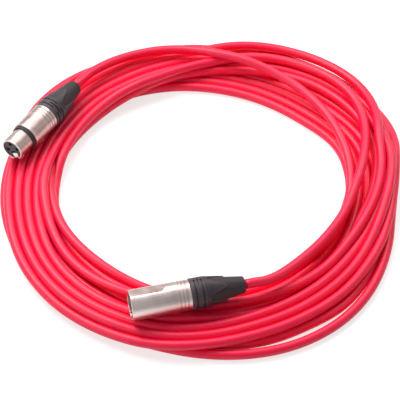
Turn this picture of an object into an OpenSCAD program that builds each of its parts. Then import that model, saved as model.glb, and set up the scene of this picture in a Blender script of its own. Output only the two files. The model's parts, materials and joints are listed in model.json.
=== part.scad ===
// Balanced microphone cable with three-pin connectors, coiled on the floor.
// Millimetres. +Z is up, +X runs from the male connector's mouth to its boot,
// and the origin is on the floor under the middle of the coil's box.

/* [Cable] */
// Outside diameter of the cable's jacket
cable_d = 6.2; // [5.8:0.05:6.4]
// Diameter of each insulated core and of the drain wire
core_d = 1.4; // [1:0.05:1.6]

/* [Coil] */
// Turns of cable in the coil
coil_turns = 11.35; // [9.35:1:13.35]
// Radius from the coil's centre to the middle of its innermost turn
coil_inner_r = 95; // [92:0.5:98]
// Clear gap between one turn and the next
turn_gap = 0.5; // [0.45:0.05:0.6]
// Part of the cable's diameter cut flat where the coil stands
flat_share = 0.1; // [0.06:0.01:0.12]

/* [Connectors] */
// Gap between a connector and the turns that it lies on
seat_gap = 0.3; // [0.2:0.05:0.6]
// Distance of the male connector's axis beyond the coil's innermost turn
male_beyond = 6; // [3:0.5:9]
// Angle of the female boot's mouth about the coil's centre
female_at = 125.3; // [124.5:0.1:126]
// Distance of the female boot's mouth beyond the coil's innermost turn
female_beyond = 20.8; // [20:0.1:21.6]
// Direction of the female connector's axis, seen from above
female_turn = 44; // [40:1:48]
// Roll of the female connector's latch from straight down
latch_roll = 25; // [22:1:34]
// Turn of the male connector's boot about its axis
male_boot_turn = 26; // [0:1:180]
// Turn of the female connector's boot about its axis
female_boot_turn = 98; // [0:1:180]

/* [Shells] */
// Outside diameter of the male shell
male_shell_d = 19; // [18.8:0.1:19.6]
// Inside diameter of the male shell's socket
socket_d = 16.2; // [16:0.05:16.4]
// Depth of the male shell's socket
socket_depth = 14.9; // [14:0.1:16]
// Length of the male shell in front of its boot
male_shell_len = 37.2; // [36.8:0.1:40]
// Outside diameter of the female shell
female_shell_d = 19.2; // [18.8:0.1:19.6]
// Length of the female shell in front of its boot
female_shell_len = 37.2; // [36.6:0.1:40]
// Outside diameter of the female nose
nose_d = 15.8; // [15.6:0.05:15.9]
// Length of the female nose in front of its ring
nose_len = 12.2; // [11.6:0.1:13]
// Wall of the female nose
nose_wall = 1; // [0.8:0.05:1.1]
// Wall of the threaded tail that each shell has inside its boot
tail_wall = 0.7; // [0.6:0.05:0.8]
// Length of the threaded tail
tail_len = 6.4; // [6:0.1:6.8]
// Depth of the shallow facet on top of the male shell
facet_depth = 0.55; // [0.3:0.05:0.7]
// Length of the facet
facet_len = 22; // [16:0.5:26]
// Depth of each grip groove
groove_depth = 0.22; // [0.1:0.02:0.4]
// Distance between grip grooves
groove_pitch = 2.2; // [1.8:0.1:2.6]

/* [Ring] */
// Width of the rubber ring along the nose
ring_w = 2.4; // [2:0.1:3]
// How far the rubber ring stands out from the nose
ring_rise = 0.8; // [0.5:0.05:1.1]

/* [Contacts] */
// Radius of the circle that the contacts stand on
contact_circle_r = 4; // [3.9:0.05:4.1]
// Diameter of a male pin
pin_d = 2.4; // [2.3:0.05:2.5]
// Outside diameter of a female contact
contact_d = 3.2; // [3.1:0.05:3.3]
// How far a pin's tip stands back from the male shell's mouth
pin_setback = 2; // [1.5:0.1:4]
// Length of a solder cup
cup_len = 5.4; // [4.6:0.1:5.8]
// Length of the male insert behind its socket
insert_len = 12; // [11:0.1:12.4]
// Length of the female insert's flange
flange_len = 6; // [5:0.1:6.6]

/* [Latch] */
// How far the latch is pressed in
latch_travel = 1.1; // [0.8:0.05:1.2]
// Width of the latch
latch_w = 4.2; // [3.6:0.1:4.4]
// Thickness of the latch's bar
latch_bar_t = 1.2; // [1:0.05:1.3]
// Width of the thumb tab
tab_w = 5.6; // [5:0.1:6]
// Length of the thumb tab
tab_len = 8; // [7:0.1:8.4]
// How far the thumb tab stands proud of the shell
tab_rise = 0.4; // [0.2:0.05:0.45]
// How far the hook stands proud of the nose
hook_rise = 0.7; // [0.5:0.05:0.9]
// Clearance around the latch in its slot and window
latch_gap = 0.35; // [0.25:0.05:0.45]
// Outside diameter of the latch's return spring
spring_d = 3; // [2.6:0.1:3.2]

/* [Boot] */
// Outside diameter of the boot's collar
collar_d = 19.6; // [19.4:0.1:20]
// Length of the boot's collar
collar_len = 9.2; // [8.8:0.1:10]
// Length of the whole boot with its sleeve
boot_len = 34; // [32:0.5:37]
// Length from the collar's front edge to the tips of the petals
petal_reach = 22.4; // [21:0.1:24]
// Thickness of a petal at its tip
petal_t = 0.55; // [0.4:0.05:0.7]
// Outside diameter of the sleeve inside the collar
sleeve_root_d = 17.8; // [17.4:0.1:18]
// Outside diameter of the sleeve at the tips of the petals
sleeve_mid_d = 13.9; // [13.2:0.1:14.4]
// Outside diameter of the sleeve where the cable leaves it
sleeve_end_d = 10.6; // [10:0.1:11.4]
// Distance from the collar's front edge to its first row of slots
slot_first = 2.8; // [2:0.1:3]
// Distance from one row of slots to the next
slot_pitch = 2.15; // [1.6:0.05:2.3]
// Width of each slot around the collar
slot_w = 0.8; // [0.5:0.05:1]
// Depth of the slots
slot_depth = 0.6; // [0.3:0.05:0.65]

/* [Fits] */
// Clearance around pieces that slide into each other
fit_gap = 0.1; // [0.05:0.01:0.15]
// Clearance around the cable in the sleeve's mouth
cable_gap = 0.3; // [0.2:0.05:0.4]

/* [Hidden] */
$fn = 64;
petals = 4;
jaws = 4;
grip_grooves = 3;
slot_rows = 3;
coil_sides = 6;
coil_rings = 24;
lead_sides = 10;
core_sides = 8;
chamfer = 0.3;

// Heights of the two layers, and of the connectors that lie on them
turn_pitch = cable_d + turn_gap;
low_z = cable_d * (0.5 - flat_share);
high_z = low_z + turn_pitch;
coil_top = high_z + cable_d / 2;
connector_z = coil_top + seat_gap + collar_d / 2;

// Radii that the shells, inserts, chucks and boots share
socket_r = socket_d / 2;
tail_r = socket_r + tail_wall;
nose_r = nose_d / 2;
nose_bore_r = nose_r - nose_wall;
pin_r = pin_d / 2;
lip_h = 0.7;
lip_w = 1;
thread_r = tail_r + fit_gap;

// The boot's inner steps, and the chuck's place from the collar's front edge
boot_seat_x = tail_len + 0.8;
sleeve_x = boot_seat_x + 1.4;
sleeve_seat_r = 6.7;
sleeve_bore_r = cable_d / 2 + cable_gap;
sleeve_socket_len = 9.4;
sleeve_bore_x = sleeve_x + sleeve_socket_len;
petal_start = collar_len + 2;
petal_root_r = collar_d / 2 - 0.4;
petal_gap = 0.05;
petal_root_angle = 39;
petal_overlap = 0.4;
chuck_front = 1;
chuck_ring_len = 3.6;
chuck_len = 11;
chuck_root_r = sleeve_seat_r + 0.5;
chuck_tip_r = sleeve_seat_r - 1.5;
jaw_slit = 1.2;
jacket_setback = 3.2;
bundle_r = core_d * 0.8;

// The latch's distances from the connector's axis and from its mouth
insert_setback = 0.7;
bar_top = nose_bore_r - 0.7;
bar_bottom = bar_top - latch_bar_t;
channel_floor = bar_bottom - latch_travel - latch_gap;
head_bottom = 3.1;
head_floor = head_bottom - latch_travel - latch_gap;
head_x = 0.8;
hook_x = 3;
hook_len = 2.6;
tab_x = 17.5;
spring_x = tab_x + tab_len / 2;
pocket_floor = 1;
flange_setback = 6;
flange_x = nose_len + ring_w + flange_setback;

// Places of the insert and of the solder cups
insert_x = socket_depth + lip_w + fit_gap / 2;
boss_x = socket_depth - 0.5;
shank_r = pin_r + 0.2;
pin_flange_w = 0.8;
cup_floor = 1.4;
cup_cut = 2.6;
male_cup_x = insert_x + insert_len + pin_flange_w;
female_cup_x = flange_x + flange_len + 0.6;

// Contacts 1, 2 and 3 round the axis, with the key straight down
contact_angles = [180, 0, 90];

// Start of the coil on its upper layer, and the part of a turn in which it climbs
coil_start = -45;
climb = 0.5;
half_turns = coil_turns / 2;

function unit(v) = v / norm(v);
function smooth(u) = let (c = min(1, max(0, u))) c * c * (3 - 2 * c);
function coil_angle(t) = coil_start - 360 * t;
function coil_r(t) = coil_inner_r + turn_pitch * min(t, coil_turns - t);
function coil_z(t) = high_z - turn_pitch * smooth((t - half_turns + climb / 2) / climb);
function coil_point(t) =
    let (a = coil_angle(t), r = coil_r(t)) [r * cos(a), r * sin(a), coil_z(t)];
function clockwise(t) = let (a = coil_angle(t)) [sin(a), -cos(a), 0];

whole_rings = floor(coil_turns * coil_rings);
coil_in = coil_point(0) - clockwise(0) * cable_d;
coil_out = coil_point(coil_turns) + clockwise(coil_turns) * cable_d;
coil_path = concat(
    [coil_in],
    [for (i = [0 : whole_rings]) coil_point(i / coil_rings)],
    [coil_point(coil_turns), coil_out]
);
coil_tangents = concat(
    [clockwise(0)],
    [for (i = [0 : whole_rings]) clockwise(i / coil_rings)],
    [clockwise(coil_turns), clockwise(coil_turns)]
);

// Corners of a straight-sided ring round the point p, square to the direction t
function ring(p, t, d, sides, spin = 0) =
    let (side = unit(cross([0, 0, 1], t)), up = cross(t, side))
        [for (k = [0 : sides - 1]) let (a = spin + 360 * k / sides) p + d / 2 * (cos(a) * side + sin(a) * up)];

// Middle of the coil's box, which stands over the origin
coil_skin = [
    for (i = [0 : len(coil_path) - 1]) each ring(coil_path[i], coil_tangents[i], cable_d, coil_sides, 30)
];
function middle(axis) = let (v = [for (p = coil_skin) p[axis]]) (min(v) + max(v)) / 2;
coil_middle = [middle(0), middle(1), 0];

// A point at an angle about the coil's centre, beyond its innermost turn, at the height z,
// and the points of a route whose heights are above the coil's top
function on_coil(angle, beyond, z) =
    let (r = coil_inner_r + beyond) [r * cos(angle), r * sin(angle), z];
function on_bundle(points) = [for (p = points) on_coil(p[0], p[1], coil_top + p[2])];

// Directions of the two connectors, and where the cable leaves them
male_exit_x = 1.2;
female_dir = [cos(female_turn), sin(female_turn), 0];
female_exit = on_coil(female_at, female_beyond, connector_z);
female_front = female_exit - (female_shell_len + boot_len) * female_dir;
male_dir = [1, 0, 0];
male_exit = [male_exit_x, -coil_inner_r - male_beyond, connector_z];
male_front = male_exit - (male_shell_len + boot_len) * male_dir;

// Route of the cable from the female boot, over the bundle and down its inner edge,
// as angles about the coil, distances beyond its innermost turn and heights above its top
female_points = [
    [115.6, 25.5, 8.32], [107.5, 27.7, 5.72], [99.3, 28.1, 4.12], [90.9, 27, 4.52], [83, 23.9, 6.32],
    [75.3, 19.2, 9.02], [67.6, 15.3, 10.82], [60, 13, 10.52], [52.2, 11.9, 8.12], [44.2, 11.1, 5.32],
    [36.3, 9.8, 3.92], [28.4, 7.9, 3.72], [20.6, 5.9, 3.72], [12.6, 3.4, 3.72], [4.5, 1.1, 3.72],
    [-3.9, -0.6, 2.92], [-12.3, -1, 1.52], [-20.2, -1.2, -0.08], [-27.5, -1.2, -1.48], [-34.5, -0.7, -2.48]
];
female_route = concat([female_exit, female_exit + cable_d * female_dir], on_bundle(female_points), [coil_in]);

// Route of the cable from the male boot, round the top of the bundle and down inside it
male_points = [
    [-78.6, 5.3, 8.52], [-70.7, 2, 5.92], [-61.4, -0.7, 3.92], [-51.7, -1.4, 3.72], [-41.5, -0.7, 4.12],
    [-32, 1, 5.72], [-23.3, 2.7, 7.52], [-14.1, 6.6, 8.72], [-4.5, 11.7, 8.72], [5, 18.6, 7.22],
    [14, 25.7, 5.72], [22.9, 30.9, 4.12], [31.2, 32.4, 3.72], [40, 31.7, 3.72], [48.6, 29.7, 3.72],
    [56.6, 25.9, 3.72], [64.7, 20.6, 3.72], [73, 14.3, 3.72], [81.9, 8.5, 3.72], [91.5, 3.5, 3.72],
    [101.2, 0, 2.52], [110.9, -2.1, -0.28], [120.7, -3.4, -3.08], [130.4, -3.6, -5.38], [140.6, -3.7, -7.08],
    [150.8, -3.6, -8.18], [161.2, -3.1, -8.98], [171.6, -2.2, -9.58]
];
male_route = concat([male_exit, male_exit + cable_d * male_dir], on_bundle(male_points), [coil_out]);

// What the coil and the leads measure
self_gap = min([
    for (i = [0 : len(coil_path) - 1])
        for (j = [i + floor(coil_rings / 2) : 1 : len(coil_path) - 1])
            norm(coil_path[i] - coil_path[j])
]) - cable_d;
function run(p, i = 0) = i >= len(p) - 1 ? 0 : norm(p[i + 1] - p[i]) + run(p, i + 1);
echo(coil_self_gap_mm = self_gap);
echo(coil_length_mm = run(coil_path), leads_length_mm = run(female_route) + run(male_route));
echo(coil_middle_mm = coil_middle);

// A closed tube of straight-sided rings along a path that is never steep
module tube(path, tangents, d, sides, spin = 0) {
    n = len(path);
    corners = [for (i = [0 : n - 1]) each ring(path[i], tangents[i], d, sides, spin)];
    walls = [
        for (i = [0 : n - 2])
            for (k = [0 : sides - 1])
                let (a = i * sides + k, b = i * sides + (k + 1) % sides)
                    each [[a, a + sides, b], [b, a + sides, b + sides]]
    ];
    last = (n - 1) * sides;
    front = [for (k = [1 : sides - 2]) [0, k, k + 1]];
    back = [for (k = [1 : sides - 2]) [last, last + k + 1, last + k]];
    polyhedron(points = corners, faces = concat(walls, front, back), convexity = 10);
}

// Keeps what is above the floor, which leaves a flat where the cable lies on it
module cut_flat() {
    reach = 2 * coil_r(half_turns);
    intersection() {
        children();
        translate([-reach, -reach, 0]) cube([2 * reach, 2 * reach, reach]);
    }
}

// A cylinder along +X, and a solid turned about X from points of [x, radius]
module rod(x, len, r) {
    translate([x, 0, 0]) rotate([0, 90, 0]) cylinder(h = len, r = r);
}
module turned(points) {
    rotate([0, 90, 0]) rotate_extrude() polygon([for (p = points) [p[1], p[0]]]);
}

// What a groove of width w and the given depth takes out of a rod of radius r
module ring_groove(x, w, r, depth) {
    difference() {
        rod(x, w, r + 1);
        rod(x - 1, w + 2, r - depth);
    }
}

// Where everything lies; the female connector is rolled about its own axis
module placed() {
    translate(-coil_middle) children();
}
module at_male() {
    placed() translate(male_front) children();
}
module at_female() {
    placed() translate(female_front) rotate([0, 0, female_turn]) rotate([-latch_roll, 0, 0]) children();
}
module at_male_boot() {
    at_male() translate([male_shell_len, 0, 0]) children();
}
module at_female_boot() {
    at_female() translate([female_shell_len, 0, 0]) children();
}

// Places a child on the axis of contact i, counted from 1
module at_contact(i) {
    a = contact_angles[i - 1];
    translate([0, contact_circle_r * cos(a), contact_circle_r * sin(a)]) children();
}

// ---- Cable ----

module cable_coil() {
    color("#e01840") cut_flat() tube(coil_path, coil_tangents, cable_d, coil_sides, spin = 30);
}

// A free stretch of cable whose ends face along the directions first and last
module lead(route, first, last) {
    n = len(route);
    tangents = [
        for (i = [0 : n - 1])
            i == 0 ? first : i == n - 1 ? last : unit(route[i + 1] - route[i - 1])
    ];
    color("#e01840") cut_flat() tube(route, tangents, cable_d, lead_sides);
}
module cable_lead_female() {
    lead(female_route, female_dir, clockwise(0));
}
module cable_lead_male() {
    lead(male_route, male_dir, -clockwise(coil_turns));
}

// ---- Pieces that both connectors have ----

// Outer radius of the sleeve at a distance x behind the collar's front edge
function sleeve_r(x) = lookup(x, [
    [sleeve_x, sleeve_root_d / 2], [petal_reach, sleeve_mid_d / 2], [boot_len, sleeve_end_d / 2]
]);
petal_tip_r = sleeve_r(petal_reach) + petal_gap + petal_t;

// Half the angle that a petal covers, at a share u of its length
function petal_angle(u) = petal_root_angle * (1 - 0.7 * sqrt(u) - 0.3 * (1 - sqrt(1 - pow(u, 6))));

// The outline of one petal, seen from outside, as a prism along +Z
module petal_prism() {
    steps = 14;
    side = [
        for (i = [0 : steps])
            let (u = pow(i / steps, 1.6), r = petal_root_r + u * (petal_tip_r - petal_root_r))
                [petal_start + u * (petal_reach - petal_start), r * sin(petal_angle(u))]
    ];
    other = [for (i = [steps - 1 : -1 : 0]) [side[i][0], -side[i][1]]];
    root = [petal_start - petal_overlap, side[0][1]];
    linear_extrude(height = collar_d) polygon(concat([root], side, other, [[root[0], -root[1]]]));
}

// A row of two slots round the collar, with bridges of the given angle between them
module slot_row(x, bridge) {
    r = collar_d / 2;
    difference() {
        ring_groove(x, slot_w, r, slot_depth);
        translate([x, 0, 0]) cube([3 * slot_w, 2 * r * sin(bridge / 2), 4 * r], center = true);
    }
}

module boot() {
    r = collar_d / 2;
    long_bridge = 104;
    short_bridge = 26;
    bridge_turn = -56;
    root_x = petal_start - petal_overlap;
    root_step = 0.06;
    color("#3a3539") {
        difference() {
            turned([
                [0, thread_r], [0, r - chamfer], [chamfer, r], [collar_len - chamfer, r],
                [collar_len, r - chamfer / 2], [petal_start, petal_root_r],
                [petal_start, sleeve_r(petal_start) + petal_gap], [sleeve_x, sleeve_r(sleeve_x) + petal_gap],
                [sleeve_x, sleeve_seat_r], [boot_seat_x, sleeve_seat_r], [boot_seat_x, thread_r]
            ]);
            for (row = [0 : slot_rows - 1])
                rotate([bridge_turn + (row % 2) * 90, 0, 0])
                    slot_row(slot_first + row * slot_pitch - slot_w / 2, row % 2 == 0 ? short_bridge : long_bridge);
        }
        for (i = [0 : petals - 1])
            rotate([360 * i / petals, 0, 0]) intersection() {
                turned([
                    [root_x, sleeve_r(root_x) + petal_gap + root_step], [root_x, petal_root_r - root_step],
                    [petal_start, petal_root_r - root_step], [petal_reach, petal_tip_r],
                    [petal_reach, sleeve_r(petal_reach) + petal_gap]
                ]);
                petal_prism();
            }
    }
}

module sleeve() {
    end_r = sleeve_end_d / 2;
    rim = 1;
    front = sleeve_x + petal_gap;
    color("#2b272b") turned(concat(
        [[front, sleeve_seat_r], [front, sleeve_r(sleeve_x)], [petal_reach, sleeve_r(petal_reach)]],
        [for (a = [0 : 15 : 90]) [boot_len - rim + rim * sin(a), end_r - rim + rim * cos(a)]],
        [[boot_len, sleeve_bore_r], [sleeve_bore_x, sleeve_bore_r]]
    ));
}

module chuck() {
    grip_r = cable_d / 2 + fit_gap;
    ring_r = socket_r - fit_gap;
    ring_end = chuck_front + chuck_ring_len;
    end_x = chuck_front + chuck_len;
    color("#d8d4cc") difference() {
        turned([
            [chuck_front, grip_r], [chuck_front, ring_r], [ring_end, ring_r],
            [ring_end, chuck_root_r], [end_x, chuck_tip_r], [end_x, grip_r]
        ]);
        for (i = [0 : jaws / 2 - 1])
            rotate([360 * i / jaws, 0, 0])
                translate([ring_end, -jaw_slit / 2, -ring_r - 1])
                    cube([chuck_len, jaw_slit, 2 * ring_r + 2]);
    }
}

module jacket_end() {
    color("#e01840") rod(jacket_setback, boot_len - jacket_setback, cable_d / 2);
}

// A core from the floor of solder cup i to the cut face of the jacket
module core(i, cup_x, jacket_x) {
    a = contact_angles[i - 1];
    out = [0, cos(a), sin(a)];
    path = [
        [cup_x + cup_floor + fit_gap, 0, 0] + contact_circle_r * out,
        [cup_x + cup_cut + 1, 0, 0] + contact_circle_r * out,
        [cup_x + cup_len - 0.4, 0, 0] + (contact_circle_r - 0.4) * out,
        [jacket_x - 1.4, 0, 0] + (bundle_r + 0.2) * out,
        [jacket_x, 0, 0] + bundle_r * out
    ];
    last = len(path) - 1;
    tangents = [
        for (k = [0 : last]) k == 0 || k == last ? [1, 0, 0] : unit(path[k + 1] - path[k - 1])
    ];
    tube(path, tangents, core_d, core_sides);
}

// The solder cup of contact i, open behind and cut away on the side that faces the axis
module solder_cup(i, x, r) {
    rotate([90 + contact_angles[i - 1], 0, 0]) difference() {
        rod(x, cup_len, r);
        rod(x + cup_floor, cup_len, core_d / 2 + 0.15);
        translate([x + cup_cut, -r, 0.1]) cube([cup_len, 2 * r, r]);
    }
}

// ---- Female connector ----

module female_shell() {
    r = female_shell_d / 2;
    body_x = nose_len + ring_w;
    front_r = r - 0.2;
    window_w = tab_w + 2 * latch_gap;
    slot = latch_w + 2 * latch_gap;
    rim_groove_x = 1.1;
    rim_groove_w = 0.3;
    rim_groove_depth = 0.15;
    groove_w = 0.7;
    last_groove = female_shell_len - 3;
    color("#d9d1cb") difference() {
        turned([
            [0, nose_bore_r], [0, nose_r - chamfer], [chamfer, nose_r], [body_x, nose_r],
            [body_x, front_r - chamfer], [body_x + chamfer, front_r], [female_shell_len - chamfer, r],
            [female_shell_len, r - chamfer], [female_shell_len, tail_r],
            [female_shell_len + tail_len, tail_r], [female_shell_len + tail_len, socket_r],
            [flange_x, socket_r], [flange_x, nose_bore_r]
        ]);
        ring_groove(rim_groove_x, rim_groove_w, nose_r, rim_groove_depth);
        for (i = [0 : grip_grooves - 1])
            ring_groove(last_groove - i * groove_pitch, groove_w, r, groove_depth);
        translate([-1, -slot / 2, -2 * nose_r]) cube([nose_len, slot, nose_r + nose_wall + 1]);
        translate([tab_x - latch_gap, -window_w / 2, -2 * r])
            cube([tab_len + 2 * latch_gap, window_w, 2 * r - channel_floor]);
    }
}

module female_ring() {
    color("#232023") difference() {
        rod(nose_len + fit_gap / 2, ring_w - fit_gap, nose_r + ring_rise);
        rod(0, female_shell_len, nose_r + fit_gap / 2);
    }
}

module female_insert() {
    channel_w = latch_w + 2 * latch_gap;
    flange_front = flange_x + fit_gap / 2;
    color("#2a282b") difference() {
        union() {
            rod(insert_setback, flange_front + 1 - insert_setback, nose_bore_r - fit_gap);
            rod(flange_front, flange_len, socket_r - fit_gap);
        }
        for (i = [1 : 3]) at_contact(i) {
            rod(0, female_shell_len, pin_r + 0.15);
            rod(insert_setback + 0.8, female_shell_len, contact_d / 2 + fit_gap / 2);
        }
        translate([0, -channel_w / 2, -nose_d]) cube([female_shell_len, channel_w, nose_d - channel_floor]);
        translate([0, -channel_w / 2, -nose_d])
            cube([hook_x + hook_len + latch_gap, channel_w, nose_d - head_floor]);
        translate([tab_x - latch_gap, -tab_w / 2 - latch_gap, -nose_d])
            cube([female_shell_len, tab_w + 2 * latch_gap, nose_d - channel_floor]);
        translate([spring_x, 0, -nose_r]) cylinder(h = nose_r - pocket_floor, r = spring_d / 2 + 0.2);
    }
}

module female_contact(i) {
    front = insert_setback + 0.8 + fit_gap / 2;
    bore_depth = 12;
    color("#cfae6a") at_contact(i) {
        difference() {
            rod(front, female_cup_x - front, contact_d / 2);
            rod(front - 1, bore_depth + 1, pin_r);
        }
        solder_cup(i, female_cup_x, contact_d / 2);
    }
}
module female_contact_1() { female_contact(1); }
module female_contact_2() { female_contact(2); }
module female_contact_3() { female_contact(3); }

module female_latch() {
    tab_end = tab_x + tab_len;
    tab_r = female_shell_d / 2 + tab_rise;
    hook_r = nose_r + hook_rise;
    hook_end = hook_x + hook_len;
    color("#c9c2bc") {
        translate([0, latch_w / 2, 0]) rotate([90, 0, 0]) linear_extrude(height = latch_w) polygon([
            [head_x, -head_bottom], [head_x, -nose_bore_r], [hook_x, -hook_r], [hook_end, -hook_r],
            [hook_end, -bar_top], [tab_end, -bar_top], [tab_end, -bar_bottom],
            [hook_end, -bar_bottom], [hook_end, -head_bottom]
        ]);
        intersection() {
            translate([tab_x, -tab_w / 2, -tab_r]) cube([tab_len, tab_w, tab_r - bar_bottom]);
            rod(0, female_shell_len, tab_r);
        }
    }
}

module female_latch_spring() {
    play = 0.05;
    color("#b8b8b8") translate([spring_x, 0, play - bar_bottom]) difference() {
        cylinder(h = bar_bottom - pocket_floor - 2 * play, r = spring_d / 2);
        translate([0, 0, -1]) cylinder(h = nose_r, r = spring_d / 3);
    }
}

// ---- Male connector ----

module male_shell() {
    r = male_shell_d / 2;
    lip_r = socket_r - lip_h;
    facet_turn = -14;
    facet_w = 2 * sqrt(r * r - pow(r - facet_depth, 2));
    key_w = 3.2;
    key_depth = 0.5;
    catch_depth = 0.8;
    groove_w = 0.9;
    last_groove = male_shell_len - 3.3;
    color("#d9d1cb") difference() {
        turned([
            [0, socket_r + chamfer / 2], [0, r - chamfer], [chamfer, r], [male_shell_len - chamfer, r],
            [male_shell_len, r - chamfer], [male_shell_len, tail_r],
            [male_shell_len + tail_len, tail_r], [male_shell_len + tail_len, socket_r],
            [socket_depth + lip_w, socket_r], [socket_depth + lip_w, lip_r],
            [socket_depth, lip_r], [socket_depth, socket_r], [chamfer, socket_r]
        ]);
        for (i = [0 : grip_grooves - 1])
            ring_groove(last_groove - i * groove_pitch, groove_w, r, groove_depth);
        rotate([facet_turn, 0, 0]) translate([0, 0, r - facet_depth]) {
            translate([-1, -facet_w / 2, 0]) cube([facet_len - facet_w / 2 + 1, facet_w, r]);
            translate([facet_len - facet_w / 2, 0, 0]) cylinder(h = r, r = facet_w / 2);
        }
        translate([-1, -key_w / 2, -socket_r - key_depth]) cube([socket_depth + 1, key_w, 2]);
        translate([hook_x + 0.4, -key_w / 2, -socket_r - catch_depth]) cube([hook_len + 1, key_w, 2]);
    }
}

module male_insert() {
    color("#2a282b") difference() {
        union() {
            rod(insert_x, insert_len, socket_r - fit_gap);
            rod(boss_x, insert_x - boss_x + 1, socket_r - lip_h - fit_gap);
        }
        for (i = [1 : 3]) at_contact(i) rod(0, male_shell_len, shank_r + fit_gap / 2);
    }
}

module male_pin(i) {
    tip = 1.1;
    stop_x = male_cup_x - pin_flange_w + fit_gap / 2;
    stop_r = shank_r + 0.2;
    color("#cfae6a") at_contact(i) {
        turned(concat(
            [for (a = [0 : 15 : 90]) [pin_setback + tip - tip * cos(a), pin_r * sin(a)]],
            [[boss_x, pin_r], [boss_x, shank_r], [stop_x, shank_r], [stop_x, stop_r]],
            [[male_cup_x, stop_r], [male_cup_x, 0]]
        ));
        solder_cup(i, male_cup_x, shank_r + 0.1);
    }
}
module male_pin_1() { male_pin(1); }
module male_pin_2() { male_pin(2); }
module male_pin_3() { male_pin(3); }

// The cores of each connector, named for what they carry
module female_core(i) {
    core(i, female_cup_x, female_shell_len + jacket_setback);
}
module male_core(i) {
    core(i, male_cup_x, male_shell_len + jacket_setback);
}

placed() cable_coil();
placed() cable_lead_female();
placed() cable_lead_male();
at_female() female_shell();
at_female() female_ring();
at_female() female_insert();
at_female() female_contact_1();
at_female() female_contact_2();
at_female() female_contact_3();
at_female() female_latch();
at_female() female_latch_spring();
at_female_boot() chuck();  // female_chuck
at_female_boot() rotate([female_boot_turn + latch_roll, 0, 0]) boot();  // female_boot
at_female_boot() sleeve();  // female_sleeve
at_female_boot() jacket_end();  // female_jacket_end
color("white") at_female() female_core(2);  // female_core_hot
color("royalblue") at_female() female_core(3);  // female_core_cold
color("silver") at_female() female_core(1);  // female_drain
at_male() male_shell();
at_male() male_insert();
at_male() male_pin_1();
at_male() male_pin_2();
at_male() male_pin_3();
at_male_boot() chuck();  // male_chuck
at_male_boot() rotate([male_boot_turn, 0, 0]) boot();  // male_boot
at_male_boot() sleeve();  // male_sleeve
at_male_boot() jacket_end();  // male_jacket_end
color("white") at_male() male_core(2);  // male_core_hot
color("royalblue") at_male() male_core(3);  // male_core_cold
color("silver") at_male() male_core(1);  // male_drain
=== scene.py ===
import json
import math

import bmesh
import bpy
import numpy as np
from mathutils import Matrix, Vector

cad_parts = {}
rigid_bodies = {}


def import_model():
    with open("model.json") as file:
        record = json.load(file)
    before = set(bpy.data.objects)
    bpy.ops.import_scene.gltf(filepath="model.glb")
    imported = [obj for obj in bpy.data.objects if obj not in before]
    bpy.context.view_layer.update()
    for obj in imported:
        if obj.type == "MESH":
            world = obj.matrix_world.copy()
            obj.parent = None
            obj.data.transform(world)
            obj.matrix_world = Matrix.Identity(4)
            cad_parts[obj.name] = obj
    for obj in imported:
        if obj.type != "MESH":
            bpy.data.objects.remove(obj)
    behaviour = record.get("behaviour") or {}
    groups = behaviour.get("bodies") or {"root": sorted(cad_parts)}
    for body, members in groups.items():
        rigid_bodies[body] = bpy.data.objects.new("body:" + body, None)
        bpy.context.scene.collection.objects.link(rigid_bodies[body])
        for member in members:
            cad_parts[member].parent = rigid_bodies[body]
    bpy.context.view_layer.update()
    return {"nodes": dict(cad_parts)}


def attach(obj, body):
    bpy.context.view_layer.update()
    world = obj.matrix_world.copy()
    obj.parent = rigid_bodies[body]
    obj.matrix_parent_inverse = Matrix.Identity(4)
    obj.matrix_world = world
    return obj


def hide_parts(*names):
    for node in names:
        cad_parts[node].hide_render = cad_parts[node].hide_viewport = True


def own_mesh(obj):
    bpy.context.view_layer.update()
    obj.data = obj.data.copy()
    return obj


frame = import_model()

nodes = frame["nodes"]


# ---- Studio ----
# A white table top under two large soft lamps behind the coil and two weak side panels,
# in a dim white room. The camera looks down at the coil from the front with a long lens.

def linear(colour):
    """A colour written as sRGB hex, such as "c8102e", as linear RGBA."""
    parts = [int(colour[i:i + 2], 16) / 255 for i in (0, 2, 4)]
    return (*[c / 12.92 if c <= 0.04045 else ((c + 0.055) / 1.055) ** 2.4 for c in parts], 1.0)


def put(tree, kind, sockets=None, **settings):
    """Adds a node with its settings, and links or sets each named or numbered input.
    A Mix of colours takes them at inputs 6 and 7, and gives the result at output 2."""
    made = tree.nodes.new(kind)
    for name, value in settings.items():
        setattr(made, name, value)
    for name, value in (sockets or {}).items():
        if isinstance(value, bpy.types.NodeSocket):
            tree.links.new(value, made.inputs[name])
        else:
            made.inputs[name].default_value = value
    return made


def empty_material(name):
    made = bpy.data.materials.new(name)
    made.use_nodes = True
    made.node_tree.nodes.clear()
    return made


scene = bpy.context.scene
scene.view_settings.view_transform = "Standard"

# The room lights the coil weakly, is brighter in its reflections, and is a full white
# where the camera sees it.
room = bpy.data.worlds.new("white room")
scene.world = room
room.use_nodes = True
tree = room.node_tree
tree.nodes.clear()
seen = put(tree, "ShaderNodeLightPath")
either = put(tree, "ShaderNodeMath", {
    0: seen.outputs["Is Camera Ray"], 1: seen.outputs["Is Transmission Ray"],
}, operation="MAXIMUM")
fill = put(tree, "ShaderNodeMapRange", {
    "Value": seen.outputs["Is Glossy Ray"], "To Min": 0.16, "To Max": 0.42,
})
level = put(tree, "ShaderNodeMapRange", {
    "Value": either.outputs[0], "To Min": fill.outputs["Result"], "To Max": 1.0,
})
sky = put(tree, "ShaderNodeBackground", {
    "Color": (1, 1, 1, 1), "Strength": level.outputs["Result"],
})
put(tree, "ShaderNodeOutputWorld", {"Surface": sky.outputs[0]})

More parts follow.
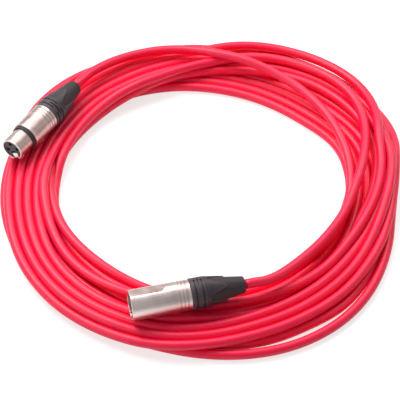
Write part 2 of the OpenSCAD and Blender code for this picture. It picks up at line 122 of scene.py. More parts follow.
# The laminate is lifted to a full white in the same way, and still takes the coil's shadow.
table_top = empty_material("white laminate")
tree = table_top.node_tree
seen = put(tree, "ShaderNodeLightPath")
either = put(tree, "ShaderNodeMath", {
    0: seen.outputs["Is Camera Ray"], 1: seen.outputs["Is Glossy Ray"],
}, operation="MAXIMUM")
lift = put(tree, "ShaderNodeMath", {0: either.outputs[0], 1: 0.7}, operation="MULTIPLY")
white = put(tree, "ShaderNodeMix", {
    0: either.outputs[0], 6: linear("eeeeee"), 7: linear("aaaaaa"),
}, data_type="RGBA")
matte = put(tree, "ShaderNodeBsdfDiffuse", {"Color": white.outputs[2]})
glow = put(tree, "ShaderNodeEmission", {"Color": (1, 1, 1, 1), "Strength": lift.outputs[0]})
both = put(tree, "ShaderNodeAddShader", {0: matte.outputs[0], 1: glow.outputs[0]})
put(tree, "ShaderNodeOutputMaterial", {"Surface": both.outputs[0]})

bpy.ops.object.select_all(action="DESELECT")
bpy.ops.mesh.primitive_plane_add(size=8)
floor = bpy.context.object
floor.name = "floor"
floor.data.materials.append(table_top)

for name, place, size, power in (
    ("softbox", (-0.4, 0.65, 1.15), 0.9, 21.0),
    ("back panel", (0.75, 0.85, 1.1), 0.8, 9.0),
    ("left panel", (-1.5, -0.5, 0.9), 1.0, 7.0),
    ("right panel", (1.4, -0.7, 1.0), 1.0, 2.0),
):
    lamp = bpy.data.lights.new(name, "AREA")
    lamp.shape = "SQUARE"
    lamp.size = size
    lamp.energy = power
    stand = bpy.data.objects.new(name, lamp)
    stand.location = place
    stand.rotation_euler = (-Vector(place)).to_track_quat("-Z", "Y").to_euler()
    scene.collection.objects.link(stand)

lens = bpy.data.cameras.new("camera")
lens.lens = 150
camera = bpy.data.objects.new("camera", lens)
camera.location = (-0.17656, -0.72570, 0.80511)
look = Matrix((
    (0.97237, 0.1721, -0.157713),
    (-0.233445, 0.7169, -0.656924),
    (0.0, 0.6756, 0.737277),
))
camera.rotation_mode = "QUATERNION"
camera.rotation_quaternion = look.to_quaternion()
scene.collection.objects.link(camera)
scene.camera = camera


# ---- Cable ----
# Nine metres of 6.2 mm microphone cable in a soft red PVC jacket, wound by hand
# over and over and dropped on the table, so its turns lie loosely in two layers.

# In mm and degrees about the middle of the turns, until the whole line is ready
CABLE_D = 6.2
STEP = 2  # degrees of a turn between two points of the cable
PER_TURN = 360 // STEP
START = 315  # where the female lead joins the coil, which runs clockwise from there
WOUND_TURNS = 11.35
INNER_R = 95
COIL_TOP = 12.28
coil_middle = np.array([0.335, 1.34, 0.0])

CONNECTOR_LENGTH = 71.2
SHELL_R = 9.6
FEMALE_TURN = 44  # the way it points, from its mouth to its boot
female_exit = np.array([-66.916, 94.509, 22.38])
female_dir = np.array([math.cos(math.radians(FEMALE_TURN)), math.sin(math.radians(FEMALE_TURN)), 0])
male_exit = np.array([1.2, -101, 22.38])
male_dir = np.array([1.0, 0, 0])

# The leads' points between the boots and the coil, as angles about the coil, distances
# beyond its innermost turn and heights above its top
female_points = [
    (115.6, 25.5, 8.32), (107.5, 27.7, 5.72), (99.3, 28.1, 4.12), (90.9, 27, 4.52),
    (83, 23.9, 6.32), (75.3, 19.2, 9.02), (67.6, 15.3, 10.82), (60, 13, 10.52),
    (52.2, 11.9, 8.12), (44.2, 11.1, 5.32), (36.3, 9.8, 3.92), (28.4, 7.9, 3.72),
    (20.6, 5.9, 3.72), (12.6, 3.4, 3.72), (4.5, 1.1, 3.72), (-3.9, -0.6, 2.92),
    (-12.3, -1, 1.52), (-20.2, -1.2, -0.08), (-27.5, -1.2, -1.48), (-34.5, -0.7, -2.48),
]
male_points = [
    (-78.6, 5.3, 8.52), (-70.7, 2, 5.92), (-61.4, -0.7, 3.92), (-51.7, -1.4, 3.72),
    (-41.5, -0.7, 4.12), (-32, 1, 5.72), (-23.3, 2.7, 7.52), (-14.1, 6.6, 8.72),
    (-4.5, 11.7, 8.72), (5, 18.6, 7.22), (14, 25.7, 5.72), (22.9, 30.9, 4.12),
    (31.2, 32.4, 3.72), (40, 31.7, 3.72), (48.6, 29.7, 3.72), (56.6, 25.9, 3.72),
    (64.7, 20.6, 3.72), (73, 14.3, 3.72), (81.9, 8.5, 3.72), (91.5, 3.5, 3.72),
    (101.2, 0, 2.52), (110.9, -2.1, -0.28), (120.7, -3.4, -3.08), (130.4, -3.6, -5.38),
    (140.6, -3.7, -7.08), (150.8, -3.6, -8.18), (161.2, -3.1, -8.98), (171.6, -2.2, -9.58),
]


def on_bundle(points):
    """The leads' points in mm."""
    return [
        (
            (INNER_R + out) * math.cos(math.radians(a)),
            (INNER_R + out) * math.sin(math.radians(a)),
            COIL_TOP + up,
        )
        for a, out, up in points
    ]


# Each lead leaves its boot straight, and ends where the coil begins or stops
female_lead = [female_exit, female_exit + CABLE_D * female_dir]
female_lead += [*on_bundle(female_points), (71.56, -62.79, 9.18)]
male_lead = [male_exit, male_exit + CABLE_D * male_dir]
male_lead += [*on_bundle(male_points), (-94.8, -8.74, 2.48)]

# How each turn was laid: its radius at 300, 270, 240 ... 0 and 330 degrees, and last
# how high it was dropped from, in steps of 7.5 mm
DROP_STEP = 7.5
turns = [
    (95, 94, 94.5, 95, 100, 101, 103, 106, 115, 126, 124, 112, 5),
    (108, 112, 118, 117, 109, 107.5, 110, 113, 120, 132, 130, 115, 6),
    (113.5, 118, 126, 124, 115.5, 114.5, 116.5, 123, 139, 142, 125, 110.5, 8),
    (107, 105, 105, 107, 104, 103.5, 106, 110, 116, 125, 127, 120, 7),
    (119, 124, 131, 129, 122, 120.5, 122, 124, 135, 137.5, 134, 122, 4),
    (126, 130, 135, 132.5, 127, 127.5, 138.5, 131, 125, 130, 130, 127, 3),
    (138, 140.2, 134, 130.5, 129, 128.5, 128, 124, 119, 118.5, 123, 119, 0.2),
    (128.8, 130.3, 127, 123, 122.5, 121.5, 121, 117, 112.5, 112, 118, 118, 0.8),
    (125, 124.5, 120, 117, 116, 115, 114.5, 111, 106.5, 106, 112, 110, 1.2),
    (114, 114, 113, 111, 109.5, 109, 108.5, 104.5, 99.5, 99, 106, 103, 1.6),
    (105, 105.5, 105, 104, 103.5, 103, 102.5, 98.5, 93, 92, 100, 96.5, 2.0),
    (98, 98.5, 98.5, 97.5, 97, 95, 95, 95, 95, 95, 95, 95, 2.2),
]
# Two more radii, between those angles: the turn, counted from 1, its angle and its radius
between = [(7, 285, 141), (8, 285, 128.4)]

# The outermost and innermost radius that the cable's middle line may reach, by angle
reach = [
    (0, 131), (4, 135), (10, 138.5), (15, 140.5), (30, 143), (40, 144), (50, 143.5), (56, 141.5),
    (62, 138), (68, 134), (74, 131), (82, 129.5), (90, 131), (100, 134.5), (112, 137.5),
    (122, 137), (130, 135), (138, 133), (150, 130.5), (185, 130.5), (200, 133), (213, 135),
    (235, 136), (255, 137.5), (270, 140.5), (285, 141.5), (292, 141), (298, 139), (304, 136.5),
    (310, 134), (315, 131.5), (322, 128), (329, 125), (337, 122.5), (350, 125.5), (360, 131),
]
inside = [
    (0, 97.5), (10, 98.5), (20, 95), (30, 92), (40, 90.5), (60, 90.5), (75, 93), (90, 96),
    (100, 98), (120, 98), (140, 97), (150, 96.5), (160, 97), (180, 98.5), (190, 98), (200, 96.5),
    (210, 95), (230, 93), (260, 91.5), (300, 89), (310, 89), (320, 91), (330, 94), (340, 96),
    (360, 97.5),
]


def smooth_route(points, steps):
    """A smooth line through the points, which it passes exactly."""
    p = np.array([np.asarray(q, float) for q in points])
    p = np.vstack([2 * p[0] - p[1], p, 2 * p[-1] - p[-2]])
    u = np.arange(steps)[:, None] / steps
    out = [
        0.5 * (
            2 * b + (c - a) * u + (2 * a - 5 * b + 4 * c - d) * u**2
            + (3 * b - a - 3 * c + d) * u**3
        )
        for a, b, c, d in zip(p, p[1:], p[2:], p[3:])
    ]
    return np.vstack(out + [p[-2:-1]])


def evened(values, share):
    """Values along the cable, each one averaged with its neighbours."""
    weights = np.r_[np.arange(1, share + 2), np.arange(share, 0, -1)].astype(float)
    return np.convolve(np.pad(values, share, mode="edge"), weights / weights.sum(), mode="valid")


def by_direction(listed, angle):
    """A radius that is listed by direction, at each of the cable's angles."""
    directions, radii = np.transpose(listed)
    return evened(np.interp(angle % (2 * math.pi), np.radians(directions), radii), 4)


def from_ends(count):
    """How many points each point of a line is away from the nearer end."""
    return np.minimum(np.arange(count), np.arange(count)[::-1])


def settle(
    radius, height, laid, rounds, fall, stay, loose, inner, outer, lowest, lowered=None
):
    """Lets the wound cable sink until its turns rest on each other and on the table.
    Two turns that cross the same 2 degrees of the coil are kept a cable's width apart.
    It keeps near the radius that it was laid at, and ends that aren't loose stay put."""
    count = len(radius)
    rows = -(-count // PER_TURN)
    upper, lower = np.triu_indices(rows, 1)
    to_rows = np.zeros((rows, len(upper)))
    to_rows[upper, np.arange(len(upper))] = -1
    to_rows[lower, np.arange(len(upper))] = 1
    spare = 1e4 + 100 * np.arange(rows)[:, None]  # far off, for places with no cable
    passes, give = 4, 0.36  # in each pass both turns give way by this share of the overlap
    slow_from, slow = 0.7, 0.4  # the last rounds sink more slowly
    stiff = 0.6  # how far the cable's own stiffness evens out its heights
    for i in range(rounds):
        before = radius
        height = height - (fall if i < slow_from * rounds else slow * fall)
        radius = laid + evened(radius - laid, 3) * (1 - stay)
        height = (1 - stiff) * height + stiff * evened(height, 4)
        slope = np.gradient(radius) / (math.radians(STEP) * radius)
        full = np.zeros((3, rows * PER_TURN))
        full[:, :count] = radius, height, slope
        r, z, s = full.reshape(3, rows, PER_TURN)
        r = np.where(r == 0, spare, r)
        narrowed = 1 / np.sqrt(1 + (s[lower] - s[upper]) ** 2)
        for _ in range(passes):
            across, above = (r[lower] - r[upper]) * narrowed, z[lower] - z[upper]
            apart = np.hypot(across, above) + 1e-9
            push = np.maximum(0, CABLE_D - apart) / apart * give
            r = r + to_rows @ (push * across)
            z = np.maximum(z + to_rows @ (push * above), CABLE_D / 2)
        radius, height = r.reshape(-1)[:count], z.reshape(-1)[:count]
        radius = before + (np.clip(radius, inner, outer) - before) * loose
        if lowered:
            height = lowered(radius, height)
        height = np.maximum(height, lowest)
    return radius, height


# The coil by itself
coil_count = round(360 * WOUND_TURNS / STEP) + 1
swept = np.arange(coil_count) * STEP
angle = np.radians(START - swept)
marks = [(0, INNER_R, turns[0][-1])]
marks += [
    (START - 300 + 30 * (12 * n + k), row[k], row[-1])
    for n, row in enumerate(turns) for k in range(12)
]
marks += [(START - a + 360 * (turn - 1), r, turns[turn - 1][-1]) for turn, a, r in between]
marks = smooth_route(sorted(marks), 15)
laid = np.interp(swept, marks[:, 0], marks[:, 1])
dropped = evened(np.interp(swept, marks[:, 0], marks[:, 2]), 20)
inner, outer = by_direction(inside, angle), by_direction(reach, angle)
loose = np.clip(from_ends(coil_count) / 25, 0, 1)
r, z = laid.copy(), CABLE_D / 2 + DROP_STEP * dropped
r, z = settle(r, z, laid, 500, 0.35, 0.01, loose, inner, outer, CABLE_D / 2)
r, z = settle(r, z, laid, 200, 0.08, 0.01, loose, inner, outer, CABLE_D / 2)


def by_angle(lead, backwards, end):
    """A lead's radius and height at every 2 degrees of its way between its boot and the coil.
    The male lead is laid backwards, from its boot, and goes on from the coil's last angle."""
    line = smooth_route(lead, 12)
    line = line[::-1] if backwards else line
    turned = START - np.degrees(np.unwrap(np.arctan2(line[:, 1], line[:, 0])))
    turned -= 360 * round((turned[0 if backwards else -1] - end) / 360)
    if backwards:
        at = np.arange(coil_count, int(turned[-1] // STEP) + 1) * STEP
    else:
        at = np.arange(-int(-turned[0] // STEP), 0) * STEP
    out = np.hypot(line[:, 0], line[:, 1])
    return np.interp(at, turned, out), np.interp(at, turned, line[:, 2])


# The whole cable, from the female boot to the male one
female_r, female_z = by_angle(female_lead, False, 0)
male_r, male_z = by_angle(male_lead, True, swept[-1])
first, last = len(female_r), len(female_r) + coil_count
r, z = np.r_[female_r, r, male_r], np.r_[female_z, z, male_z]
angle = np.radians(START - (np.arange(len(r)) - first) * STEP)


def below_connectors(radius, height):
    """Keeps the turns under a connector from rising into it."""
    x, y = radius * np.cos(angle), radius * np.sin(angle)
    clear = SHELL_R + CABLE_D / 2
    for end, way in ((male_exit, male_dir), (female_exit, female_dir)):
        mouth = end - CONNECTOR_LENGTH * way
        along = (x - mouth[0]) * way[0] + (y - mouth[1]) * way[1]
        aside = (y - mouth[1]) * way[0] - (x - mouth[0]) * way[1]
        thick = (along > -3) & (along < 65)  # all but the end of the boot
        hit = thick & (height < end[2]) & (np.hypot(aside, height - end[2]) < clear)
        under = end[2] - np.sqrt(np.maximum(clear**2 - aside**2, 0))
        height = np.where(hit, under, height)
    return height


# The leads give way less than the coil and sag 2.2 mm at most. Their ends stay in the boots,
# and where they meet the coil they may sink to the table with it.
NO_LIMIT, LEAD_GIVE, LEAD_SAG = 999, 0.25, 2.2
outer = np.r_[np.full(first, NO_LIMIT), outer, np.full(len(male_r), NO_LIMIT)]
inner = by_direction(inside, angle)
loose = np.r_[np.full(first, LEAD_GIVE), np.ones(coil_count), np.full(len(male_r), LEAD_GIVE)]
loose[:4] = loose[-4:] = 0
lowest = np.r_[female_z - LEAD_SAG, np.zeros(coil_count), male_z - LEAD_SAG]
lowest = np.maximum(lowest, CABLE_D / 2)
lowest[first - 12:first] = lowest[last:last + 12] = CABLE_D / 2
lowest[:3], lowest[-3:] = female_z[:3], male_z[-3:]
r, z = settle(r, z, r.copy(), 200, 0.10, 0.02, loose, inner, outer, lowest, below_connectors)

# The cable is stiff enough to round off the small corners that settling leaves
rounded = np.clip((from_ends(len(r)) - 2) / 8, 0, 1)
r, z = r + (evened(r, 3) - r) * rounded, z + (evened(z, 3) - z) * rounded

centres = np.stack([r * np.cos(angle), r * np.sin(angle), z], 1)
out_of_female = [female_exit, female_exit + 3 * female_dir]
into_male = [male_exit + 3 * male_dir, male_exit]
centres = np.vstack([out_of_female, centres[2:-2], into_male])
centres = (centres - coil_middle) / 1000


def along_line(points, spacing):
    """Points an even distance apart on the smooth line through the given ones, and that
    line's length."""
    line = smooth_route(points, 6)
    run = np.r_[0, np.cumsum(np.linalg.norm(np.diff(line, axis=0), axis=1))]
    at = np.linspace(0, run[-1], max(2, round(run[-1] / spacing)) + 1)
    return np.stack([np.interp(at, run, line[:, k]) for k in range(3)], 1), run[-1]


def squares_to(points):
    """Two directions square to the line at each of its points, which turn with it as
    little as they can."""
    way = np.gradient(points, axis=0)
    way /= np.linalg.norm(way, axis=1)[:, None]
    side = np.cross(way[0], (0, 0, 1.0))
    pairs = []
    for t in way:
        side = side - side.dot(t) * t
        side /= np.linalg.norm(side)
        pairs.append((side, np.cross(side, t)))
    return pairs


def wire(name, points, diameter, sides, lay):
    """A closed round tube along the points. Its UV map has the metres along it in V, and in U
    the turns of the cores that are twisted inside it, one for each lay length."""
    round_it = np.arange(sides) * 2 * math.pi / sides
    corners = []
    for p, (side, up) in zip(points, squares_to(points)):
        corners += [p + diameter / 2 * (math.cos(a) * side + math.sin(a) * up) for a in round_it]
    faces = []
    for i in range(len(points) - 1):
        here, ahead = i * sides, (i + 1) * sides
        for k in range(sides):
            beside = (k + 1) % sides
            faces.append((here + k, ahead + k, ahead + beside, here + beside))
    faces += [tuple(range(sides)), tuple(len(corners) - 1 - k for k in range(sides))]
    mesh = bpy.data.meshes.new(name)
    mesh.from_pydata(corners, [], faces)
    run = np.r_[0, np.cumsum(np.linalg.norm(np.diff(points, axis=0), axis=1))]
    twist = mesh.uv_layers.new(name="twist")
    for face in mesh.polygons:
        face.use_smooth = face.loop_total == 4
        for slot, corner in zip(face.loop_indices, face.vertices):
            i, k = divmod(corner, sides)
            wrapped = k == 0 and face.loop_total == 4 and face.index % sides == sides - 1
            twist.data[slot].uv = (run[i] / lay + (sides if wrapped else k) / sides, run[i])
    made = bpy.data.objects.new(name, mesh)
    scene.collection.objects.link(made)
    work = bmesh.new()
    work.from_mesh(mesh)
    bmesh.ops.recalc_face_normals(work, faces=work.faces)
    work.to_mesh(mesh)
    work.free()
    return made


# Soft PVC, extruded: a saturated red whose satin skin gives broad pale highlights, with the
# faint swell of the two twisted cores under it and light handling marks.
WAVE_UNIT = 2 * math.pi / 20  # the scale at which a Wave texture has one wave to a unit
CORES = 2
jacket = empty_material("soft PVC jacket, satin red")
tree = jacket.node_tree
place = put(tree, "ShaderNodeTexCoord")
twist = put(tree, "ShaderNodeUVMap", uv_map="twist")
cloud = put(tree, "ShaderNodeTexNoise", {
    "Vector": place.outputs["Object"], "Scale": 45.0, "Detail": 3.0,
})
tone = put(tree, "ShaderNodeMix", {
    0: cloud.outputs["Fac"], 6: linear("f4003f"), 7: linear("fc0048"),
}, data_type="RGBA")
handled = put(tree, "ShaderNodeTexNoise", {
    "Vector": place.outputs["Object"], "Scale": 260.0, "Detail": 4.0,
})
satin = put(tree, "ShaderNodeMapRange", {
    "Value": handled.outputs["Fac"], "To Min": 0.42, "To Max": 0.50,
})
swell = put(tree, "ShaderNodeTexWave", {
    "Vector": twist.outputs["UV"], "Scale": WAVE_UNIT * CORES,
}, bands_direction="X")
swelled = put(tree, "ShaderNodeBump", {
    "Height": swell.outputs["Fac"], "Distance": 0.00002, "Strength": 0.6,
})
grain = put(tree, "ShaderNodeTexNoise", {
    "Vector": place.outputs["Object"], "Scale": 2600.0, "Detail": 2.0,
})
skin = put(tree, "ShaderNodeBump", {
    "Height": grain.outputs["Fac"], "Distance": 0.00001, "Strength": 0.5,
    "Normal": swelled.outputs["Normal"],
})
pvc = put(tree, "ShaderNodeBsdfPrincipled", {
    "Base Color": tone.outputs[2], "Roughness": satin.outputs["Result"],
    "IOR": 1.53, "Specular IOR Level": 0.5, "Normal": skin.outputs["Normal"],
    "Subsurface Weight": 0.2, "Subsurface Radius": (0.004, 0.0008, 0.0008),
    "Subsurface Scale": 0.5,
})
put(tree, "ShaderNodeOutputMaterial", {"Surface": pvc.outputs[0]})

# The mesh has a ring every 3.2 mm, and its cores are twisted once in 45 mm
line, cable_length = along_line(centres, 0.0032)
cable = wire("microphone_cable", line, CABLE_D / 1000, 20, 0.045)
cable.data.materials.append(jacket)
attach(cable, "cable")
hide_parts("cable_coil", "cable_lead_female", "cable_lead_male")


# ---- Shells ----
# Both shells are die-cast zinc, brushed, then nickel plated: a warm pale satin metal
# whose edges are painted a little brighter than its sides, as a painted highlight.

def finish(material, names):
    """Gives CAD nodes their material."""
    for name in names:
        nodes[name].data.materials.clear()
        nodes[name].data.materials.append(material)


# Fine lines left by brushing lengthwise before plating, 0.6 mm apart and coarser than the real
# ones so that they show, stretch the highlights along the shell and keep them soft.
for shell, turned in (("male_shell", 0), ("female_shell", FEMALE_TURN)):
    nickel = empty_material("satin nickel plate, brushed lengthwise, " + shell[:-6])
    tree = nickel.node_tree
    place = put(tree, "ShaderNodeTexCoord")
    # Painted highlight: Pointiness finds the convex edges, and they are painted paler than the
    # sides.
    edge_highlight = put(tree, "ShaderNodeNewGeometry")
    edge = put(tree, "ShaderNodeMapRange", {
        "Value": edge_highlight.outputs["Pointiness"], "From Min": 0.52, "From Max": 0.60,
    })
    lined_up = put(tree, "ShaderNodeMapping", {
        "Vector": place.outputs["Object"], "Rotation": (0, 0, math.radians(-turned)),
    })
    drawn = put(tree, "ShaderNodeMapping", {
        "Vector": lined_up.outputs["Vector"], "Scale": (40, 1600, 1600),
    })
    brushing = put(tree, "ShaderNodeTexNoise", {
        "Vector": drawn.outputs["Vector"], "Scale": 1.0, "Detail": 3.0,
    })
    haze = put(tree, "ShaderNodeTexNoise", {
        "Vector": place.outputs["Object"], "Scale": 180.0, "Detail": 4.0,
    })
    mixed = put(tree, "ShaderNodeMath", {
        0: haze.outputs["Fac"], 1: brushing.outputs["Fac"],
    }, operation="ADD")
    streaks = put(tree, "ShaderNodeMapRange", {
        "Value": mixed.outputs[0], "From Min": 0.7, "From Max": 1.3,
    })
    grey = put(tree, "ShaderNodeMix", {
        0: streaks.outputs["Result"], 6: linear("b39c96"), 7: linear("cfb9b2"),
    }, data_type="RGBA")
    # The paler colour on the edges is a painted highlight on the rims.
    bright = put(tree, "ShaderNodeMix", {
        0: edge.outputs["Result"], 6: grey.outputs[2], 7: linear("e8dcd8"),
    }, data_type="RGBA")
    rough = put(tree, "ShaderNodeMapRange", {
        "Value": streaks.outputs["Result"], "To Min": 0.32, "To Max": 0.42,
    })
    scored = put(tree, "ShaderNodeBump", {
        "Height": brushing.outputs["Fac"], "Distance": 0.00002, "Strength": 0.5,
    })
    plate = put(tree, "ShaderNodeBsdfPrincipled", {
        "Base Color": bright.outputs[2], "Metallic": 1.0,
        "Roughness": rough.outputs["Result"], "Normal": scored.outputs["Normal"],
    })
    put(tree, "ShaderNodeOutputMaterial", {"Surface": plate.outputs[0]})
    finish(nickel, [shell])


# ---- Boots and bend reliefs ----
# The boot is a hard moulded nut with four petals that screws onto the shell. A soft
# sleeve moulded of elastomer fills it and tapers behind the petals to the cable.

# The spark-eroded mould gives it a fine even grain, so it shines only broadly and greyly. Its
# grooves are painted darker as painted shade, and its edges paler as a painted highlight.
boot_plastic = empty_material("textured moulded polyamide, charcoal")
tree = boot_plastic.node_tree
place = put(tree, "ShaderNodeTexCoord")
spark = put(tree, "ShaderNodeTexNoise", {
    "Vector": place.outputs["Object"], "Scale": 2400.0, "Detail": 3.0,
})
cloud = put(tree, "ShaderNodeTexNoise", {
    "Vector": place.outputs["Object"], "Scale": 120.0, "Detail": 3.0,
})
shade = put(tree, "ShaderNodeMix", {
    0: cloud.outputs["Fac"], 6: linear("332b30"), 7: linear("3d343a"),
}, data_type="RGBA")
bend = put(tree, "ShaderNodeNewGeometry")
# Painted shade: concave grooves and slots are painted near black, where shade falls in them.
hollow = put(tree, "ShaderNodeMapRange", {
    "Value": bend.outputs["Pointiness"], "From Min": 0.40, "From Max": 0.49,
})
groove_shaded = put(tree, "ShaderNodeMix", {
    0: hollow.outputs["Result"], 6: linear("120d11"), 7: shade.outputs[2],
}, data_type="RGBA")
# Painted highlight: convex edges are painted paler, where light catches them.
edge_highlight_mask = put(tree, "ShaderNodeMapRange", {
    "Value": bend.outputs["Pointiness"], "From Min": 0.53, "From Max": 0.62,
})
edge_highlight = put(tree, "ShaderNodeMix", {
    0: edge_highlight_mask.outputs["Result"], 6: groove_shaded.outputs[2], 7: linear("574c53"),
}, data_type="RGBA")
rough = put(tree, "ShaderNodeMapRange", {
    "Value": cloud.outputs["Fac"], "To Min": 0.42, "To Max": 0.54,
})
texture = put(tree, "ShaderNodeBump", {
    "Height": spark.outputs["Fac"], "Distance": 0.00003, "Strength": 0.5,
})
moulded = put(tree, "ShaderNodeBsdfPrincipled", {
    "Base Color": edge_highlight.outputs[2], "Roughness": rough.outputs["Result"],
    "IOR": 1.5, "Specular IOR Level": 0.4, "Normal": texture.outputs["Normal"],
})
put(tree, "ShaderNodeOutputMaterial", {"Surface": moulded.outputs[0]})
finish(boot_plastic, ["male_boot", "female_boot"])

# It is darker and duller than the boot beside it, with no clear highlight.
elastomer = empty_material("soft elastomer, black")
tree = elastomer.node_tree
place = put(tree, "ShaderNodeTexCoord")
pore = put(tree, "ShaderNodeTexNoise", {
    "Vector": place.outputs["Object"], "Scale": 1500.0, "Detail": 3.0,
})
shade = put(tree, "ShaderNodeMix", {
    0: pore.outputs["Fac"], 6: linear("2b2226"), 7: linear("352a2f"),
}, data_type="RGBA")
matted = put(tree, "ShaderNodeBump", {
    "Height": pore.outputs["Fac"], "Distance": 0.00002, "Strength": 0.5,
})
rubber = put(tree, "ShaderNodeBsdfPrincipled", {
    "Base Color": shade.outputs[2], "Roughness": 0.62, "IOR": 1.5,
    "Specular IOR Level": 0.4, "Sheen Weight": 0.08, "Normal": matted.outputs["Normal"],
})
put(tree, "ShaderNodeOutputMaterial", {"Surface": rubber.outputs[0]})
finish(elastomer, ["male_sleeve", "female_sleeve", "female_ring"])


# ---- Contact carriers ----
# Each connector's contacts sit in a carrier moulded of black glass-filled polyamide.
# It slides into the shell, and the boot holds it there.

# Glass fibres at the skin break up its sheen into a faint mottle.
carrier = empty_material("glass-filled polyamide, black")
tree = carrier.node_tree
place = put(tree, "ShaderNodeTexCoord")
fibre = put(tree, "ShaderNodeTexVoronoi", {"Vector": place.outputs["Object"], "Scale": 1800.0})
shade = put(tree, "ShaderNodeMix", {
    0: fibre.outputs["Distance"], 6: linear("221f22"), 7: linear("322e31"),
}, data_type="RGBA")
mottle = put(tree, "ShaderNodeBump", {
    "Height": fibre.outputs["Distance"], "Distance": 0.00002, "Strength": 0.4,
})
nylon = put(tree, "ShaderNodeBsdfPrincipled", {
    "Base Color": shade.outputs[2], "Roughness": 0.46, "IOR": 1.53,
    "Normal": mottle.outputs["Normal"],
})
put(tree, "ShaderNodeOutputMaterial", {"Surface": nylon.outputs[0]})
finish(carrier, ["male_insert", "female_insert"])


# ---- Contacts and latch ----
# Pins and contacts are turned brass with a thin bright plate. The latch is stamped
# from spring steel and nickel plated, and a small coil spring holds it out.

# Lathe-turned and plated: pale gold with tight bright reflections.
contact = empty_material("bright plated brass")
tree = contact.node_tree
place = put(tree, "ShaderNodeTexCoord")
turning = put(tree, "ShaderNodeTexNoise", {
    "Vector": place.outputs["Object"], "Scale": 900.0, "Detail": 3.0,
})
gold = put(tree, "ShaderNodeMix", {
    0: turning.outputs["Fac"], 6: linear("d9c08a"), 7: linear("e6d2a4"),
}, data_type="RGBA")
rough = put(tree, "ShaderNodeMapRange", {
    "Value": turning.outputs["Fac"], "To Min": 0.18, "To Max": 0.28,
})
plated = put(tree, "ShaderNodeBsdfPrincipled", {
    "Base Color": gold.outputs[2], "Metallic": 1.0, "Roughness": rough.outputs["Result"],
})
put(tree, "ShaderNodeOutputMaterial", {"Surface": plated.outputs[0]})
finish(contact, [f"male_pin_{n}" for n in (1, 2, 3)] + [f"female_contact_{n}" for n in (1, 2, 3)])

# Rolled strip and drawn wire, plated: a cooler and brighter metal than the shells.
steel = empty_material("nickel plated spring steel")
tree = steel.node_tree
place = put(tree, "ShaderNodeTexCoord")
rolled = put(tree, "ShaderNodeTexNoise", {
    "Vector": place.outputs["Object"], "Scale": 700.0, "Detail": 3.0,
})
silver = put(tree, "ShaderNodeMix", {
    0: rolled.outputs["Fac"], 6: linear("d6cfca"), 7: linear("e4deda"),
}, data_type="RGBA")
rough = put(tree, "ShaderNodeMapRange", {
    "Value": rolled.outputs["Fac"], "To Min": 0.2, "To Max": 0.3,
})
stamped = put(tree, "ShaderNodeBsdfPrincipled", {
    "Base Color": silver.outputs[2], "Metallic": 1.0, "Roughness": rough.outputs["Result"],
})
put(tree, "ShaderNodeOutputMaterial", {"Surface": stamped.outputs[0]})
finish(steel, ["female_latch"])


def in_connector(end, turned, rolled):
    """From a connector's own frame in mm, with X along it from its mouth, to the scene's
    metres."""
    return (
        Matrix.Scale(0.001, 4)
        @ Matrix.Translation(Vector(end - coil_middle))
        @ Matrix.Rotation(math.radians(turned), 4, "Z")
        @ Matrix.Rotation(math.radians(rolled), 4, "X")
        @ Matrix.Translation((-CONNECTOR_LENGTH, 0, 0))
    )


FEMALE_ROLL = -25
in_male = in_connector(male_exit, 0, 0)
in_female = in_connector(female_exit, FEMALE_TURN, FEMALE_ROLL)

# The return spring: 0.42 mm wire in five and a half turns, its end turns closed, standing
# between the latch's bar and the floor of its pocket.
spring_x, spring_low, spring_high = 21.5, -4.95, -1.05
spring_turns, spring_wire, spring_r = 5.5, 0.42, 1.27
steps = np.linspace(0, 1, round(spring_turns * 20) + 1)
rise = np.interp(
    steps * spring_turns, [0, 0.8, spring_turns - 0.8, spring_turns], [0, 0.11, 0.89, 1]
)
rise = spring_low + spring_wire / 2 + rise * (spring_high - spring_low - spring_wire)
wound = steps * spring_turns * 2 * math.pi
helix = [
    in_female @ Vector((spring_x + spring_r * math.cos(a), spring_r * math.sin(a), h))
    for a, h in zip(wound, rise)
]
spring = wire("latch_return_spring", np.array(helix), spring_wire / 1000, 10, 1)
spring.data.materials.append(steel)
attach(spring, "cable")
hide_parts("female_latch_spring")
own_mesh(spring)


# ---- Strain relief chucks ----
# Inside each boot four jaws moulded of natural acetal close on the jacket as the boot
# is screwed home, and hold the cable.

# It is slightly translucent and waxy, so it looks soft and creamy at the edges.
acetal = empty_material("natural acetal")
tree = acetal.node_tree
place = put(tree, "ShaderNodeTexCoord")
cloud = put(tree, "ShaderNodeTexNoise", {
    "Vector": place.outputs["Object"], "Scale": 300.0, "Detail": 3.0,
})
cream = put(tree, "ShaderNodeMix", {
    0: cloud.outputs["Fac"], 6: linear("dcd6ca"), 7: linear("e8e3d9"),
}, data_type="RGBA")
waxy = put(tree, "ShaderNodeBsdfPrincipled", {
    "Base Color": cream.outputs[2], "Roughness": 0.4,
    "Subsurface Weight": 0.1, "Subsurface Radius": (0.001, 0.001, 0.001),
})
put(tree, "ShaderNodeOutputMaterial", {"Surface": waxy.outputs[0]})
finish(acetal, ["male_chuck", "female_chuck"])


# ---- Inner wiring ----
# The jacket is stripped back inside each boot. Two insulated cores and the shield, twisted
# into a bare drain of three strands, run on to the solder cups.

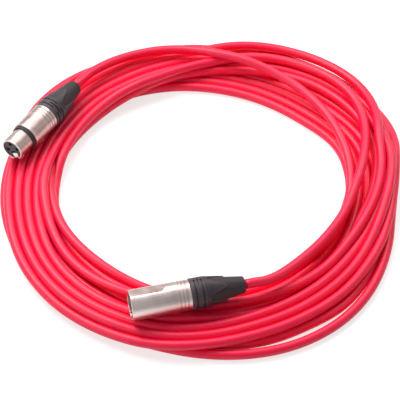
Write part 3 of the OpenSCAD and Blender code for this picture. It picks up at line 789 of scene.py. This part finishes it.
# Extruded insulation: smooth, clean and slightly glossy, white for one core and blue for
# the other. The bare tinned strands are a dull pinkish grey metal.
wiring = {}
for name, colours, kind in (
    ("polyethylene insulation, white", ("e6e4dc", "f0eee8"), "core_white"),
    ("polyethylene insulation, blue", ("1f4aa8", "2a58bc"), "core_blue"),
    ("twisted tinned copper", ("b9a796", "cbbcae"), "drain_copper"),
):
    wiring[kind] = empty_material(name)
    tree = wiring[kind].node_tree
    place = put(tree, "ShaderNodeTexCoord")
    cloud = put(tree, "ShaderNodeTexNoise", {
        "Vector": place.outputs["Object"], "Scale": 900.0, "Detail": 3.0,
    })
    tint = put(tree, "ShaderNodeMix", {
        0: cloud.outputs["Fac"], 6: linear(colours[0]), 7: linear(colours[1]),
    }, data_type="RGBA")
    glaze = put(tree, "ShaderNodeMapRange", {
        "Value": cloud.outputs["Fac"], "To Min": 0.30, "To Max": 0.40,
    })
    drawn = put(tree, "ShaderNodeBsdfPrincipled", {
        "Base Color": tint.outputs[2], "Roughness": glaze.outputs["Result"],
        "Metallic": 1.0 if kind == "drain_copper" else 0.0,
    })
    put(tree, "ShaderNodeOutputMaterial", {"Surface": drawn.outputs[0]})

# In mm along the connector from its mouth: where the jacket begins and the boot ends
JACKET_FROM, JACKET_TO = 40.4, CONNECTOR_LENGTH
# In metres: the cores, and the drain's strands with the circle and the length of their twist
CORE_D, STRAND_D, TWIST_R, TWIST_LENGTH = 0.0014, 0.0006, 0.00035, 0.007
CORE_STEP = 0.0004
for side, placed, cup_x in (("male", in_male, 28.75), ("female", in_female, 27.2)):
    bpy.ops.object.select_all(action="DESELECT")
    bpy.ops.mesh.primitive_cylinder_add(
        vertices=48, radius=CABLE_D / 2, depth=JACKET_TO - JACKET_FROM
    )
    stripped = bpy.context.object
    stripped.name = side + "_stripped_jacket"
    # The cut end is a wall 0.9 mm thick round a shallow hollow
    bpy.ops.object.mode_set(mode="EDIT")
    bpy.ops.mesh.select_all(action="DESELECT")
    work = bmesh.from_edit_mesh(stripped.data)
    for face in work.faces:
        face.select = face.normal.z < -0.9
    work.select_flush_mode()
    bmesh.update_edit_mesh(stripped.data)
    bpy.ops.mesh.inset(thickness=0.9)
    bpy.ops.mesh.extrude_region_move(TRANSFORM_OT_translate={"value": (0, 0, 0.8)})
    bpy.ops.object.mode_set(mode="OBJECT")
    cut_edge = stripped.modifiers.new("cut edge", "BEVEL")
    cut_edge.width, cut_edge.segments, cut_edge.limit_method = 0.2, 2, "ANGLE"
    bpy.ops.object.modifier_apply(modifier=cut_edge.name)
    bpy.ops.object.shade_smooth_by_angle(angle=math.radians(40))
    halfway = Matrix.Translation(((JACKET_FROM + JACKET_TO) / 2, 0, 0))
    stripped.data.transform(placed @ (halfway @ Matrix.Rotation(math.radians(90), 4, "Y")))
    stripped.data.materials.append(jacket)
    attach(stripped, "cable")
    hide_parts(side + "_jacket_end")

    # In mm along the connector and out from its middle: straight out of the solder cup,
    # then in under the jacket
    bends = [
        (cup_x + 1.5, 4), (cup_x + 2.6, 4), (cup_x + 3.8, 3.95), (cup_x + 5.2, 3.55),
        (36.6, 2.2), (39.0, 1.32), (40.4, 1.12), (41.15, 1.12),
    ]
    for label, node, slot, way in (
        ("white_core", "core_hot", "core_white", 0),
        ("blue_core", "core_cold", "core_blue", 90),
        ("drain_strands", "drain", "drain_copper", 180),
    ):
        out = np.array([0, math.cos(math.radians(way)), math.sin(math.radians(way))])
        points = [placed @ Vector(x * np.array([1, 0, 0]) + far * out) for x, far in bends]
        course, _ = along_line(points, CORE_STEP)
        if slot == "drain_copper":
            pairs = squares_to(course)
            spin = np.arange(len(course)) * CORE_STEP / TWIST_LENGTH * 2 * math.pi
            bpy.ops.object.select_all(action="DESELECT")
            for third in (0, 1, 2):
                swing = spin + third * 2 * math.pi / 3
                strand = [
                    c + TWIST_R * (math.cos(a) * u + math.sin(a) * v)
                    for c, a, (u, v) in zip(course, swing, pairs)
                ]
                piece = wire(side + "_" + label, np.array(strand), STRAND_D, 10, 1)
                piece.select_set(True)
            bpy.context.view_layer.objects.active = piece
            bpy.ops.object.join()
            piece.name = side + "_" + label
        else:
            piece = wire(side + "_" + label, course, CORE_D, 16, 1)
        piece.data.materials.clear()
        piece.data.materials.append(wiring[slot])
        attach(piece, "cable")
        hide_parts(side + "_" + node)


# ---- Female end of the cable ----
# The female connector hangs on the cable's free end. Its pieces are listed here.

on_cable = [bpy.data.objects[n] for n in (
    "latch_return_spring", "female_stripped_jacket", "female_white_core", "female_blue_core",
    "female_drain_strands",
)]
on_cable += [nodes[n] for n in (
    "female_shell", "female_ring", "female_insert",
    "female_contact_1", "female_contact_2", "female_contact_3",
    "female_latch", "female_chuck", "female_boot", "female_sleeve",
)]
